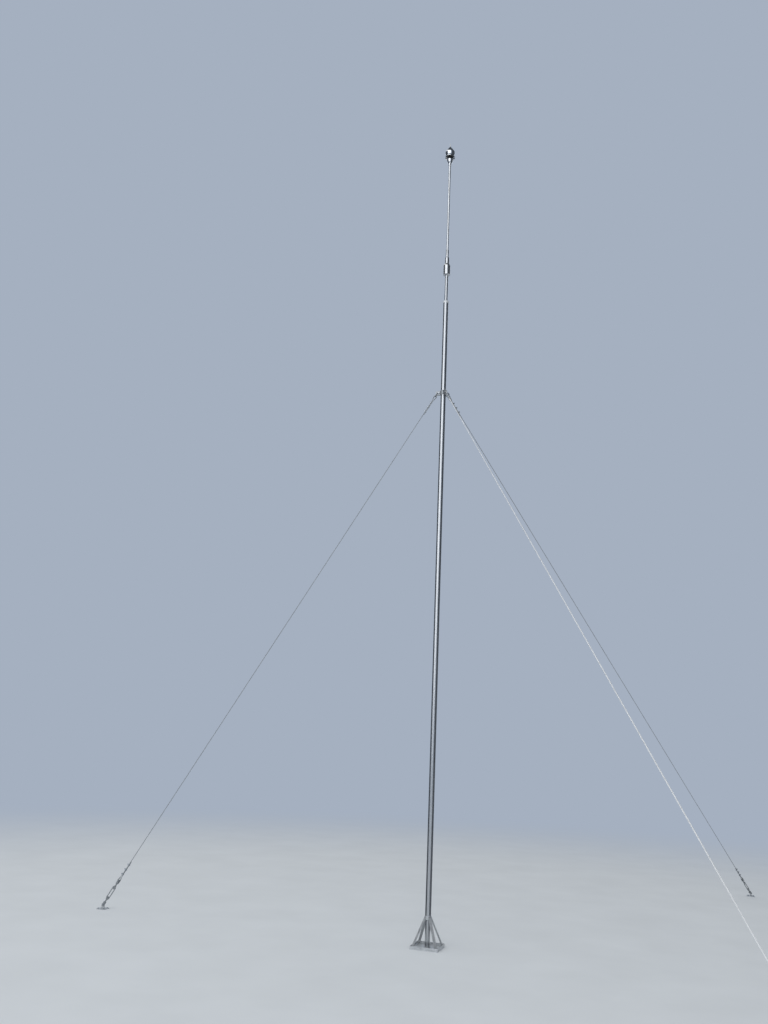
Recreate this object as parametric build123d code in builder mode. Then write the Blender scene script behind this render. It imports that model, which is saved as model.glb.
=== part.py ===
from build123d import *
import os
from math import acos, atan2, cos, degrees, hypot, isclose, radians, sin, tan

# Guyed lightning rod mast: a braced foot, a 6 m tube, a slimmer rod with a bell-shaped
# terminal on top, and three taut wire guys that run from a clamp down to anchor plates.
# Sizes are millimetres and angles degrees. +Z is up, and the origin is the middle of the
# foot's flat underside. The foot's sides lie along X and Y, and the left guy runs along -X.

# Running and seating clearances
slide_gap = 0.4
weld_gap = 0.2
seat_gap = 0.3

# Foot: a flat plate inside a rim of angle iron, with a spigot and four braces for the mast
foot_side = 240.0
floor_plate_wall = 5.0
angle_leg = 20.0
angle_wall = 3.0
angle_edge = 1.5
foot_bolt_y = 120.0
foot_bolt_hole = 10.0
spigot_wall = 3.0
spigot_insert = 450.0
collar_diameter = 57.0
collar_height = 32.0
collar_chamfer = 2.0
brace_width = 25.0
brace_wall = 5.0
brace_drop = 10.0
brace_setback = 3.0

# Mast: main tube, top bush and middle tube
mast_foot = 250.0
mast_length = 5730.0
mast_diameter = 50.8
mast_wall = 2.8
bush_diameter = 56.0
bush_head = 20.0
bush_plug = 45.0
bush_chamfer = 2.4
middle_diameter = 31.75
middle_wall = 2.0
middle_insert = 280.0
middle_length = 650.0

# Coupling and the slim rod above it
coupling_diameter = 70.0
coupling_height = 125.0
coupling_socket = 50.0
coupling_web = 25.0
coupling_shoulder = 28.0
coupling_lip = 1.5
coupling_chamfer = 2.0
sleeve_diameter = 43.0
sleeve_height = 75.0
sleeve_chamfer = 4.0
lock_diameter = 30.0
lock_height = 93.0
lock_chamfer = 3.0
rod_diameter = 22.2
rod_wall = 1.6
rod_length = 1237.0

# Terminal: neck, cup, insulator, bell and needle. The bell is open below, and the insulator
# stands in the cup and carries the bell on a disc inside its waist.
neck_diameter = 28.0
neck_height = 28.0
neck_socket = 12.0
neck_edge = 2.0
cup_radius = 32.0
cup_height = 44.0
cup_bulge = 4.0
cup_wall = 6.0
cup_socket = 14.0
stem_radius = 20.0
stem_height = 36.0
disc_flare = 14.0
disc_radius = 36.0
disc_height = 12.0
bell_rim_radius = 54.0
bell_rim_height = 3.0
bell_rim_wall = 2.5
bell_skirt_height = 24.0
bell_skirt_hollow = 2.5
bell_skirt_inside = 22.0
bell_waist_radius = 40.0
bell_belly_rise = 34.0
bell_belly_band = 8.0
bell_radius = 50.0
bell_wall = 4.0
bell_ledge = 3.0
bell_shoulder_radius = 30.0
bell_shoulder_turn = 34.0
needle_radius = 4.5
needle_tip_radius = 0.8
needle_height = 45.0
needle_stub = 8.0

# Guy clamp: three straps with paired ears round the mast
clamp_height = 5000.0
strap_height = 40.0
strap_wall = 5.0
strap_half_turn = 60.0
ear_gap = 4.0
ear_end = 74.0
ear_hole_reach = 60.0
ear_round = 9.0
ear_bolt_reach = 41.0
ear_bolt_hole = 8.5

# Guys: direction round the mast, and how far out each anchor stands
left_guy_azimuth = 180.0
right_guy_azimuth = 60.0
left_anchor_reach = 3200.0
right_anchor_reach = 5700.0
rope_diameter = 6.4
rope_leg_gap = 0.5
rope_bend = 60.0
rope_tail = 150.0
eye_length = 52.0
eye_radius = 9.0
thimble_wall = 2.0
thimble_tip = 16.0

# Shackle between ear and rope
pin_diameter = 8.0
shackle_bar = 8.0
shackle_inside = 18.0
shackle_leg = 24.0
shackle_eye_diameter = 17.0
shackle_eye_wall = 9.0
pin_head_diameter = 14.0
pin_head_height = 4.0
pin_end = 3.0

# Turnbuckle: a loop of round bar with a boss at each end, and two clevis screws
clevis_inside = 13.0
clevis_cheek = 5.0
clevis_cheek_width = 18.0
clevis_reach = 24.0
clevis_root = 8.0
screw_diameter = 12.0
screw_insert = 32.0
turnbuckle_length = 262.0
body_length = 150.0
body_width = 36.0
body_bar = 9.0
body_corner = 9.0
boss_diameter = 22.0
boss_length = 24.0
boss_edge = 2.0

# Anchor: a plate that is fastened down, with an upright lug
anchor_width = 90.0
anchor_wall = 6.0
anchor_corner = 8.0
anchor_bolt_pitch = 60.0
anchor_bolt_hole = 9.0
lug_wall = 8.0
lug_width = 32.0
lug_hole_height = 38.0

# Sizes that follow from those above
foot_bolt_x = foot_side - angle_leg - angle_wall
brace_foot = floor_plate_wall + angle_wall
brace_top = mast_foot - brace_drop
brace_reach = hypot(1, 1) * (foot_side / 2 - angle_wall) - brace_width / 2 - brace_setback
mast_bore = mast_diameter - 2 * mast_wall
spigot_diameter = mast_bore - 2 * slide_gap
spigot_top = mast_foot + spigot_insert
mast_top = mast_foot + mast_length
middle_foot = mast_top - middle_insert
middle_top = middle_foot + middle_length
middle_bore = middle_diameter + 2 * seat_gap
coupling_foot = middle_top - coupling_socket
sleeve_foot = coupling_foot + coupling_height
lock_foot = sleeve_foot + sleeve_height
rod_foot = middle_top + coupling_web
rod_top = rod_foot + rod_length
rod_bore = rod_diameter + 2 * seat_gap
neck_foot = rod_top - neck_socket
cup_foot = neck_foot + neck_height
cup_top = cup_foot + cup_height
cup_bore = cup_radius - cup_wall
disc_foot = cup_top + stem_height + disc_flare
disc_top = disc_foot + disc_height
bell_foot = disc_foot - bell_skirt_inside
bell_waist = bell_foot + bell_skirt_height
bell_belly = bell_waist + bell_belly_rise
strap_radius = mast_diameter / 2 + weld_gap
pin_hole = pin_diameter + 2 * seat_gap
rope_radius = rope_diameter / 2
leg_offset = (rope_diameter + rope_leg_gap) / 2
groove_radius = eye_radius + thimble_wall + weld_gap + rope_radius
leg_slope = atan2(leg_offset, eye_length) + acos(groove_radius / hypot(eye_length, leg_offset))
leg_turn = 90 - degrees(leg_slope)
screw_end = (turnbuckle_length - body_length) / 2 + screw_insert
guys = {
    "left": (left_guy_azimuth, left_anchor_reach),
    "rear": (right_guy_azimuth, right_anchor_reach),
    "front": (-right_guy_azimuth, right_anchor_reach),
}

os.makedirs("parts", exist_ok=True)


def save(builder, label):
    builder.part.label = label
    export_step(builder.part, f"parts/{label}.step")


def outward(azimuth, reach, height):
    return Vector(reach, 0, height).rotate(Axis.Z, azimuth)


def arc_points(centre, radius, start, end):
    # Start, middle and end of an arc, from its centre, radius and two angles
    turns = [radians(turn) for turn in (start, (start + end) / 2, end)]
    return [(centre[0] + radius * cos(turn), centre[1] + radius * sin(turn)) for turn in turns]


# Foot


def make_floor_plate():
    with BuildPart() as plate:
        with BuildSketch(Plane.XY):
            Rectangle(foot_side, foot_side)
            with GridLocations(foot_bolt_x, foot_bolt_y, 2, 2):
                Circle(foot_bolt_hole / 2, mode=Mode.SUBTRACT)
        extrude(amount=floor_plate_wall)
    save(plate, "floor_plate")


def make_foot_frame():
    # Angle iron laid on the plate: one leg flat and inward, the other upright along the edge
    with BuildPart() as frame:
        with BuildSketch(Plane.XY.offset(floor_plate_wall)):
            Rectangle(foot_side, foot_side)
            Rectangle(foot_side - 2 * angle_leg, foot_side - 2 * angle_leg, mode=Mode.SUBTRACT)
        extrude(amount=angle_wall)
        with BuildSketch(Plane.XY.offset(floor_plate_wall)):
            Rectangle(foot_side, foot_side)
            Rectangle(foot_side - 2 * angle_wall, foot_side - 2 * angle_wall, mode=Mode.SUBTRACT)
        extrude(amount=angle_leg)
        with BuildSketch(Plane.XY.offset(floor_plate_wall)):
            with GridLocations(foot_bolt_x, foot_bolt_y, 2, 2):
                Circle(foot_bolt_hole / 2)
        extrude(amount=angle_wall, mode=Mode.SUBTRACT)
        fillet(frame.edges().group_by(Axis.Z)[-1].sort_by(SortBy.LENGTH)[-4:], angle_edge)
    save(frame, "foot_frame")


def make_pipe(label, outer, wall, foot, top):
    with BuildPart() as pipe:
        with BuildSketch(Plane.XY.offset(foot)):
            Circle(outer / 2)
            Circle(outer / 2 - wall, mode=Mode.SUBTRACT)
        extrude(amount=top - foot)
    save(pipe, label)


def make_socket_collar():
    with BuildPart() as collar:
        with BuildSketch(Plane.XY.offset(mast_foot - collar_height)):
            Circle(collar_diameter / 2)
            Circle(spigot_diameter / 2 + weld_gap, mode=Mode.SUBTRACT)
        extrude(amount=collar_height)
        chamfer(collar.edges().filter_by(GeomType.CIRCLE).sort_by(SortBy.LENGTH)[-2:], collar_chamfer)
    save(collar, "socket_collar")


def make_brace(label, azimuth):
    # A flat bar from the collar to a corner of the rim, its upper end coped to the collar
    collar_face = collar_diameter / 2
    rise = brace_top - brace_foot
    run = brace_reach - collar_face
    start = spigot_diameter / 2
    start_top = brace_top + (collar_face - start) * rise / run
    upright_cut = brace_wall * hypot(rise, run) / run
    level_cut = brace_wall * hypot(rise, run) / rise
    with BuildPart() as brace:
        with BuildSketch(Plane((0, 0, 0), outward(azimuth, 1, 0), outward(azimuth - 90, 1, 0))):
            Polygon(
                (start, start_top),
                (brace_reach, brace_foot),
                (brace_reach - level_cut, brace_foot),
                (start, start_top - upright_cut),
                align=None,
            )
        extrude(amount=brace_width / 2, both=True)
        with BuildSketch(Plane.XY.offset(brace_foot)):
            Circle(collar_face + weld_gap)
        extrude(amount=mast_foot, mode=Mode.SUBTRACT)
    save(brace, label)


# Mast


def make_top_bush():
    with BuildPart() as bush:
        with BuildSketch(Plane.XY.offset(mast_top - bush_plug)):
            Circle(mast_bore / 2 - seat_gap)
        extrude(amount=bush_plug)
        with BuildSketch(Plane.XY.offset(mast_top)):
            Circle(bush_diameter / 2)
        extrude(amount=bush_head)
        chamfer(bush.edges().filter_by(GeomType.CIRCLE).sort_by(SortBy.LENGTH)[-2:], bush_chamfer)
        with BuildSketch(Plane.XY.offset(mast_top - bush_plug)):
            Circle(middle_bore / 2)
        extrude(amount=bush_plug + bush_head, mode=Mode.SUBTRACT)
    save(bush, "top_bush")


def make_coupling():
    # Turned body with a round shoulder, bored below for the middle tube and above for the rod
    outer = coupling_diameter / 2
    shoulder_foot = sleeve_foot - coupling_shoulder
    run = outer - sleeve_diameter / 2 - coupling_lip
    arc_radius = (coupling_shoulder ** 2 + run ** 2) / (2 * run)
    turn = degrees(atan2(coupling_shoulder, arc_radius - run))
    shoulder = arc_points((outer - arc_radius, shoulder_foot), arc_radius, 0, turn)
    with BuildPart() as coupling:
        with BuildSketch(Plane.XZ):
            with BuildLine():
                Polyline(
                    shoulder[-1],
                    (rod_bore / 2, sleeve_foot),
                    (rod_bore / 2, rod_foot),
                    (0, rod_foot),
                    (0, middle_top),
                    (middle_bore / 2, middle_top),
                    (middle_bore / 2, coupling_foot),
                    (outer - coupling_chamfer, coupling_foot),
                    (outer, coupling_foot + coupling_chamfer),
                    shoulder[0],
                )
                ThreePointArc(*shoulder)
            make_face()
        revolve(axis=Axis.Z)
    save(coupling, "coupling")


def make_rod_ring(label, outer, foot, height, edge):
    # A turned ring that stands on the piece below and lets the slim rod through
    with BuildPart() as ring:
        with BuildSketch(Plane.XY.offset(foot)):
            Circle(outer / 2)
        extrude(amount=height)
        chamfer(ring.faces().sort_by(Axis.Z)[-1].edges(), edge)
        with BuildSketch(Plane.XY.offset(foot)):
            Circle(rod_bore / 2)
        extrude(amount=height, mode=Mode.SUBTRACT)
    save(ring, label)


# Terminal


def make_neck():
    with BuildPart() as neck:
        with BuildSketch(Plane.XY.offset(neck_foot)):
            Circle(neck_diameter / 2)
        extrude(amount=neck_height)
        chamfer(neck.faces().sort_by(Axis.Z)[0].edges(), neck_edge)
        with BuildSketch(Plane.XY.offset(neck_foot)):
            Circle(rod_bore / 2)
        extrude(amount=rod_top - neck_foot, mode=Mode.SUBTRACT)
    save(neck, "rod_neck")


def make_cup():
    # Turned bowl on the neck, with a socket in its top for the insulator
    base_radius = neck_diameter / 2
    socket_floor = cup_top - cup_socket
    with BuildPart() as cup:
        with BuildSketch(Plane.XZ):
            with BuildLine():
                Line((0, cup_foot), (base_radius, cup_foot))
                SagittaArc((base_radius, cup_foot), (cup_radius, cup_top), -cup_bulge)
                Polyline(
                    (cup_radius, cup_top),
                    (cup_bore, cup_top),
                    (cup_bore, socket_floor),
                    (0, socket_floor),
                    (0, cup_foot),
                )
            make_face()
        revolve(axis=Axis.Z)
    save(cup, "lower_cup")


def make_insulator():
    # One moulding: a plug in the cup, a stem, and a disc that flares out inside the bell
    plug_radius = cup_bore - seat_gap
    seat_radius = disc_radius - seat_gap
    with BuildPart() as insulator:
        with BuildSketch(Plane.XZ):
            with BuildLine():
                Polyline(
                    (0, cup_top - cup_socket),
                    (plug_radius, cup_top - cup_socket),
                    (plug_radius, cup_top),
                    (stem_radius, cup_top),
                    (stem_radius, cup_top + stem_height),
                    (seat_radius, disc_foot),
                    (seat_radius, disc_top),
                    (0, disc_top),
                    (0, cup_top - cup_socket),
                )
            make_face()
        revolve(axis=Axis.Z)
    save(insulator, "insulator")


def make_bell():
    # A spun shell: a rim, a flared skirt, a waist, a round belly, and a cone up to the needle
    turn = bell_shoulder_turn
    rim_top = bell_foot + bell_rim_height
    waist_run = bell_radius - bell_waist_radius
    belly_radius = (bell_belly_rise ** 2 + waist_run ** 2) / (2 * waist_run)
    belly_turn = degrees(atan2(bell_belly_rise, belly_radius - waist_run))
    belly = arc_points((bell_radius - belly_radius, bell_belly), belly_radius, -belly_turn, 0)
    shoulder = arc_points((bell_radius - bell_shoulder_radius, bell_belly), bell_shoulder_radius, 0, turn)
    shoulder_radius, shoulder_top = shoulder[-1]
    bell_top = shoulder_top + (shoulder_radius - needle_radius) / tan(radians(turn))
    inner_radius = shoulder_radius - bell_wall / cos(radians(turn))
    inner_top = shoulder_top + (inner_radius - needle_radius) / tan(radians(turn))
    with BuildPart() as bell:
        with BuildSketch(Plane.XZ):
            with BuildLine():
                Line((bell_rim_radius, bell_foot), (bell_rim_radius, rim_top))
                SagittaArc((bell_rim_radius, rim_top), belly[0], bell_skirt_hollow)
                ThreePointArc(*belly)
                ThreePointArc(*shoulder)
                Polyline(
                    shoulder[-1],
                    (needle_radius, bell_top),
                    (0, bell_top),
                    (0, inner_top),
                    (needle_radius, inner_top),
                    (inner_radius, shoulder_top),
                    (bell_radius - bell_wall, bell_belly + bell_belly_band),
                    (bell_radius - bell_wall, bell_belly - bell_belly_band),
                    (disc_radius - bell_ledge, disc_top + bell_ledge),
                    (disc_radius - bell_ledge, disc_top),
                    (disc_radius, disc_top),
                    (disc_radius, disc_foot),
                )
                SagittaArc(
                    (disc_radius, disc_foot),
                    (bell_rim_radius - bell_rim_wall, bell_foot),
                    -bell_skirt_hollow,
                )
                Line((bell_rim_radius - bell_rim_wall, bell_foot), (bell_rim_radius, bell_foot))
            make_face()
        revolve(axis=Axis.Z)
    save(bell, "bell")
    return bell_top


def make_needle(bell_top):
    with BuildPart() as needle:
        with BuildSketch(Plane.XZ):
            with BuildLine():
                Polyline(
                    (0, bell_top),
                    (needle_radius, bell_top),
                    (needle_radius, bell_top + needle_stub),
                    (needle_tip_radius, bell_top + needle_height),
                    (0, bell_top + needle_height),
                    (0, bell_top),
                )
            make_face()
        revolve(axis=Axis.Z)
    save(needle, "needle")


# Guys. Each has a plane whose origin is its ear hole, with X down along the guy and Z along
# the hole's axis, and a like plane, with Y along the hole's axis, for what lies across it.


def guy_frame(azimuth, anchor_reach):
    ear = outward(azimuth, ear_hole_reach, clamp_height)
    lug = outward(azimuth, anchor_reach, lug_hole_height)
    across = Vector(0, -1, 0).rotate(Axis.Z, azimuth)
    along = (lug - ear).normalized()
    return Plane(origin=ear, x_dir=along, z_dir=across), (lug - ear).length


def guy_spot(reach):
    return (reach, 0)


def flat_plane(guy, reach):
    across = guy.x_dir.cross(guy.z_dir)
    return Plane(origin=guy.from_local_coords((reach, 0, 0)), x_dir=guy.x_dir, z_dir=across)


def section_plane(guy, reach, side=0.0):
    return Plane(origin=guy.from_local_coords((reach, 0, side)), x_dir=guy.z_dir, z_dir=guy.x_dir)


def make_strap(label, azimuth):
    # A third of the clamp: an arc of strip with an ear bent out at each end
    spread = ear_end * tan(radians(strap_half_turn))
    ear_root = strap_radius + strap_wall / 2
    with BuildPart() as strap:
        with BuildSketch(Plane.XY.offset(clamp_height - strap_height / 2).rotated((0, 0, azimuth))):
            Circle(strap_radius + strap_wall)
            Circle(strap_radius, mode=Mode.SUBTRACT)
            Polygon((0, 0), (ear_end, -spread), (ear_end, spread), align=None, mode=Mode.INTERSECT)
            for side, grow in ((-1, Align.MIN), (1, Align.MAX)):
                turn = side * strap_half_turn
                with Locations(Location((0, 0), turn)):
                    Rectangle(ear_end, ear_gap, align=(Align.MIN, Align.CENTER), mode=Mode.SUBTRACT)
                root = Vector(ear_root, -side * ear_gap / 2).rotate(Axis.Z, turn)
                with Locations(Location((root.X, root.Y), turn)):
                    Rectangle(ear_end - ear_root, strap_wall, align=(Align.MIN, grow))
        extrude(amount=strap_height)
        tips = strap.edges().filter_by(lambda edge: isclose(edge.length, strap_wall, abs_tol=0.01))
        fillet(tips.sort_by(lambda edge: hypot(edge.center().X, edge.center().Y))[-4:], ear_round)
        for turn in (azimuth - strap_half_turn, azimuth + strap_half_turn):
            across = Vector(0, 1, 0).rotate(Axis.Z, turn)
            with BuildSketch(Plane(origin=outward(turn, ear_hole_reach, clamp_height), z_dir=across)):
                Circle(pin_hole / 2)
            extrude(amount=strap_height, both=True, mode=Mode.SUBTRACT)
            with BuildSketch(Plane(origin=outward(turn, ear_bolt_reach, clamp_height), z_dir=across)):
                Circle(ear_bolt_hole / 2)
            extrude(amount=strap_height / 2, both=True, mode=Mode.SUBTRACT)
    save(strap, label)


def eye_bend(crown, side, leg, turn):
    # A point on the bend where a leg of the eye turns in beside the other leg
    reach = rope_bend * tan(radians(leg_turn / 2))
    return (
        crown + side * (eye_length + reach - rope_bend * sin(radians(turn))),
        leg * (leg_offset + rope_bend * (1 - cos(radians(turn)))),
    )


def eye_touch(crown, side, leg):
    touch = radians(90 - leg_turn)
    return (crown + side * groove_radius * cos(touch), leg * groove_radius * sin(touch))


def draw_eye(crown, side, leg):
    # From the bend of one leg, round the crown, to the bend of the other
    ThreePointArc(*(eye_bend(crown, side, leg, leg_turn * share) for share in (0, 0.5, 1)))
    Line(eye_bend(crown, side, leg, leg_turn), eye_touch(crown, side, leg))
    far_side = (crown - side * groove_radius, 0)
    ThreePointArc(eye_touch(crown, side, leg), far_side, eye_touch(crown, side, -leg))
    Line(eye_touch(crown, side, -leg), eye_bend(crown, side, -leg, leg_turn))
    ThreePointArc(*(eye_bend(crown, side, -leg, leg_turn * share) for share in (1, 0.5, 0)))


def make_rope(label, guy, upper_crown, lower_crown):
    upper_tail = (eye_bend(upper_crown, 1, -1, 0)[0] + rope_tail, -leg_offset)
    lower_tail = (eye_bend(lower_crown, -1, -1, 0)[0] - rope_tail, -leg_offset)
    with BuildPart() as rope:
        with BuildLine(guy) as route:
            Line(upper_tail, eye_bend(upper_crown, 1, -1, 0))
            draw_eye(upper_crown, 1, -1)
            Line(eye_bend(upper_crown, 1, 1, 0), eye_bend(lower_crown, -1, 1, 0))
            draw_eye(lower_crown, -1, 1)
            Line(eye_bend(lower_crown, -1, -1, 0), lower_tail)
        with BuildSketch(Plane(origin=guy.from_local_coords((*upper_tail, 0)), z_dir=-guy.x_dir)):
            Circle(rope_radius)
        sweep(path=route.wire())
    save(rope, label)


def make_thimble(label, guy, crown, side):
    # A grooved liner inside the rope's eye, open towards the rope, with its tips near the splice
    tip_share = thimble_tip / (eye_bend(0, 1, 1, leg_turn)[0] - eye_touch(0, 1, 1)[0])
    legs = []
    for leg in (-1, 1):
        bend = Vector(*eye_bend(crown, side, leg, leg_turn))
        touch = Vector(*eye_touch(crown, side, leg))
        legs.append((tuple(bend + (touch - bend) * tip_share), tuple(touch)))
    groove = rope_radius + weld_gap
    outer = groove + thimble_wall
    with BuildPart() as thimble:
        with BuildLine(guy) as route:
            Line(legs[0][0], legs[0][1])
            ThreePointArc(legs[0][1], (crown - side * groove_radius, 0, 0), legs[1][1])
            Line(legs[1][1], legs[1][0])
        heading = route.wire() % 0
        inward = heading.cross(guy.z_dir) * side
        with BuildSketch(Plane(origin=route.wire() @ 0, x_dir=inward, z_dir=heading)):
            Circle(outer)
            Circle(groove, mode=Mode.SUBTRACT)
            Rectangle(outer, 2 * outer, align=(Align.MIN, Align.CENTER), mode=Mode.INTERSECT)
        sweep(path=route.wire())
    save(thimble, label)


def make_shackle(label, guy):
    bar = shackle_bar / 2
    leg = shackle_inside / 2 + bar
    eye_outer = leg + shackle_eye_wall / 2
    with BuildPart() as shackle:
        with BuildLine(flat_plane(guy, 0)) as bow:
            Line((0, -leg), (shackle_leg, -leg))
            ThreePointArc((shackle_leg, -leg), (shackle_leg + leg, 0), (shackle_leg, leg))
            Line((shackle_leg, leg), (0, leg))
        with BuildSketch(section_plane(guy, 0, -leg)):
            Circle(bar)
        sweep(path=bow.wire())
        for side in (-1, 1):
            with BuildSketch(guy.offset(side * leg)):
                Circle(shackle_eye_diameter / 2)
            extrude(amount=shackle_eye_wall / 2, both=True)
        with BuildSketch(guy):
            Circle(pin_diameter / 2 + weld_gap)
        extrude(amount=eye_outer, both=True, mode=Mode.SUBTRACT)
        with BuildSketch(guy.offset(-eye_outer - pin_end)):
            Circle(pin_diameter / 2)
        extrude(amount=2 * eye_outer + 2 * pin_end)
        with BuildSketch(guy.offset(eye_outer + seat_gap)):
            Circle(pin_head_diameter / 2)
        extrude(amount=pin_head_height)
    save(shackle, label)


def add_clevis(guy, reach, side):
    # Fork, screw and pin. The fork's pin is at this reach, and the screw points along side.
    outer = clevis_inside / 2 + clevis_cheek
    pin_half = outer + pin_end
    fork_root = clevis_reach + clevis_root
    grow = Align.MIN if side > 0 else Align.MAX
    with BuildPart() as clevis:
        with BuildSketch(guy.offset(-outer)):
            with Locations(guy_spot(reach)):
                Circle(clevis_cheek_width / 2)
                Rectangle(fork_root, clevis_cheek_width, align=(grow, Align.CENTER))
        extrude(amount=2 * outer)
        with BuildSketch(flat_plane(guy, reach)):
            with Locations((side * (clevis_reach - clevis_cheek_width), 0)):
                Rectangle(2 * clevis_cheek_width, clevis_inside)
        extrude(amount=clevis_cheek_width, both=True, mode=Mode.SUBTRACT)
        with BuildSketch(section_plane(guy, reach + side * fork_root)):
            Circle(screw_diameter / 2)
        extrude(amount=side * (screw_end - fork_root))
        with BuildSketch(guy):
            with Locations(guy_spot(reach)):
                Circle(pin_diameter / 2 + weld_gap)
        extrude(amount=outer, both=True, mode=Mode.SUBTRACT)
        with BuildSketch(guy.offset(-pin_half)):
            with Locations(guy_spot(reach)):
                Circle(pin_diameter / 2)
        extrude(amount=2 * pin_half)
        with BuildSketch(guy.offset(outer + seat_gap)):
            with Locations(guy_spot(reach)):
                Circle(pin_head_diameter / 2)
        extrude(amount=pin_head_height)
    return clevis.part


def make_clevises(label, guy, length):
    upper = add_clevis(guy, length - turnbuckle_length, 1)
    lower = add_clevis(guy, length, -1)
    with BuildPart() as clevises:
        add(upper)
        add(lower)
    save(clevises, label)


def make_turnbuckle_body(label, guy, middle):
    # Half the loop runs from the middle of one bar, round the boss, to the middle of the other
    bar_reach = (body_width - body_bar) / 2
    crown = middle + (body_length - boss_length) / 2
    downwards = Axis(guy.origin, guy.x_dir)
    with BuildPart() as body:
        with BuildLine(guy) as loop:
            Polyline((middle, -bar_reach), (crown, -bar_reach), (crown, bar_reach), (middle, bar_reach))
            fillet(loop.vertices().sort_by(downwards)[-2:], body_corner)
        with BuildSketch(Plane(origin=guy.from_local_coords((middle, -bar_reach, 0)), z_dir=guy.x_dir)):
            Circle(body_bar / 2)
        sweep(path=loop.wire())
        with BuildSketch(section_plane(guy, crown - boss_length / 2)):
            Circle(boss_diameter / 2)
        extrude(amount=boss_length)
        chamfer(body.edges().filter_by(GeomType.CIRCLE).sort_by(downwards)[-1], boss_edge)
        mirror(about=section_plane(guy, middle))
        with BuildSketch(section_plane(guy, middle - body_length / 2)):
            Circle(screw_diameter / 2 + weld_gap)
        extrude(amount=body_length, mode=Mode.SUBTRACT)
    save(body, label)


def make_anchor(label, azimuth, anchor_reach, guy):
    # The plate lies square to the foot, and its lug faces the mast
    upright = Plane(origin=outward(azimuth, anchor_reach, 0), x_dir=outward(azimuth, 1, 0), z_dir=guy.z_dir)
    with BuildPart() as anchor:
        with BuildSketch(Plane(origin=upright.origin, z_dir=(0, 0, 1))):
            RectangleRounded(anchor_width, anchor_width, anchor_corner)
            with GridLocations(anchor_bolt_pitch, anchor_bolt_pitch, 2, 2):
                Circle(anchor_bolt_hole / 2, mode=Mode.SUBTRACT)
        extrude(amount=anchor_wall)
        with BuildSketch(upright):
            Rectangle(lug_width, lug_hole_height, align=(Align.CENTER, Align.MIN))
            with Locations((0, lug_hole_height)):
                Circle(lug_width / 2)
                Circle(pin_hole / 2, mode=Mode.SUBTRACT)
        extrude(amount=lug_wall / 2, both=True)
    save(anchor, label)


make_floor_plate()
make_foot_frame()
make_pipe("spigot_tube", spigot_diameter, spigot_wall, floor_plate_wall, spigot_top)
make_socket_collar()
make_brace("front_right_brace", -45)
make_brace("rear_right_brace", 45)
make_brace("rear_left_brace", 135)
make_brace("front_left_brace", -135)

make_pipe("main_tube", mast_diameter, mast_wall, mast_foot, mast_top)
make_top_bush()
make_pipe("middle_tube", middle_diameter, middle_wall, middle_foot, middle_top)
make_coupling()
make_rod_ring("reducer_sleeve", sleeve_diameter, sleeve_foot, sleeve_height, sleeve_chamfer)
make_rod_ring("lock_collar", lock_diameter, lock_foot, lock_height, lock_chamfer)
make_pipe("slim_rod", rod_diameter, rod_wall, rod_foot, rod_top)

make_neck()
make_cup()
make_insulator()
make_needle(make_bell())

make_strap("right_strap", 0)
make_strap("left_rear_strap", 2 * strap_half_turn)
make_strap("left_front_strap", -2 * strap_half_turn)

for name, (azimuth, anchor_reach) in guys.items():
    guy, length = guy_frame(azimuth, anchor_reach)
    upper_crown = shackle_leg + shackle_inside / 2 - seat_gap + eye_radius
    lower_crown = length - turnbuckle_length + pin_diameter / 2 + seat_gap - eye_radius
    make_shackle(f"{name}_shackle", guy)
    make_rope(f"{name}_guy_rope", guy, upper_crown, lower_crown)
    make_thimble(f"{name}_upper_thimble", guy, upper_crown, 1)
    make_thimble(f"{name}_lower_thimble", guy, lower_crown, -1)
    make_clevises(f"{name}_turnbuckle_clevises", guy, length)
    make_turnbuckle_body(f"{name}_turnbuckle_body", guy, length - turnbuckle_length / 2)
    make_anchor(f"{name}_anchor", azimuth, anchor_reach, guy)
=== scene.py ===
import math

import bpy
from mathutils import Matrix, Vector


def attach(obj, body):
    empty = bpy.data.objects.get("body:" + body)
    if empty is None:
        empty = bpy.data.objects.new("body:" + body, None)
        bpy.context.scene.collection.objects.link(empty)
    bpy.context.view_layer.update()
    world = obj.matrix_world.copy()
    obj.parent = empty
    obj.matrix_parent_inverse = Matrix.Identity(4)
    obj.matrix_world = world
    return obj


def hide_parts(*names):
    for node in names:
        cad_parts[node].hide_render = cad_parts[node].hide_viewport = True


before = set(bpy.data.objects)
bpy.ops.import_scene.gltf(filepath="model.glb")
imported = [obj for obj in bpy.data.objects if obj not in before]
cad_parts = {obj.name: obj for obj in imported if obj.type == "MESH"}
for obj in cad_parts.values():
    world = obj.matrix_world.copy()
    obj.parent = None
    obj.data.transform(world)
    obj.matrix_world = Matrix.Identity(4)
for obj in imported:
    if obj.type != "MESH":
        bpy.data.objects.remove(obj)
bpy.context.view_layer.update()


# Camera
# The photograph was taken from about 8 m in front of the foot at eye height, with the phone
# turned up by 15 degrees and held slightly askew. The picture is 768 wide and 1024 high.
eye = Vector((2.0693, -7.7226, 1.62))
heading = math.radians(108.798)
lift = math.radians(15.01)
askew = math.radians(2.65)
picture_height = 1024
focal_pixels = 870
forward = Vector((
    math.cos(heading) * math.cos(lift), math.sin(heading) * math.cos(lift), math.sin(lift),
))
level_right = forward.cross(Vector((0, 0, 1))).normalized()
level_up = level_right.cross(forward)
right = level_right * math.cos(askew) + level_up * math.sin(askew)
up = right.cross(forward)
bpy.ops.object.camera_add()
camera = bpy.context.object
camera.name = "photo_camera"
camera.matrix_world = Matrix.Translation(eye) @ Matrix((right, up, -forward)).transposed().to_4x4()
camera.data.sensor_fit = "VERTICAL"
camera.data.sensor_height = 36.0
camera.data.lens = camera.data.sensor_height * focal_pixels / picture_height
camera.data.clip_end = 2000
bpy.context.scene.camera = camera


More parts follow.
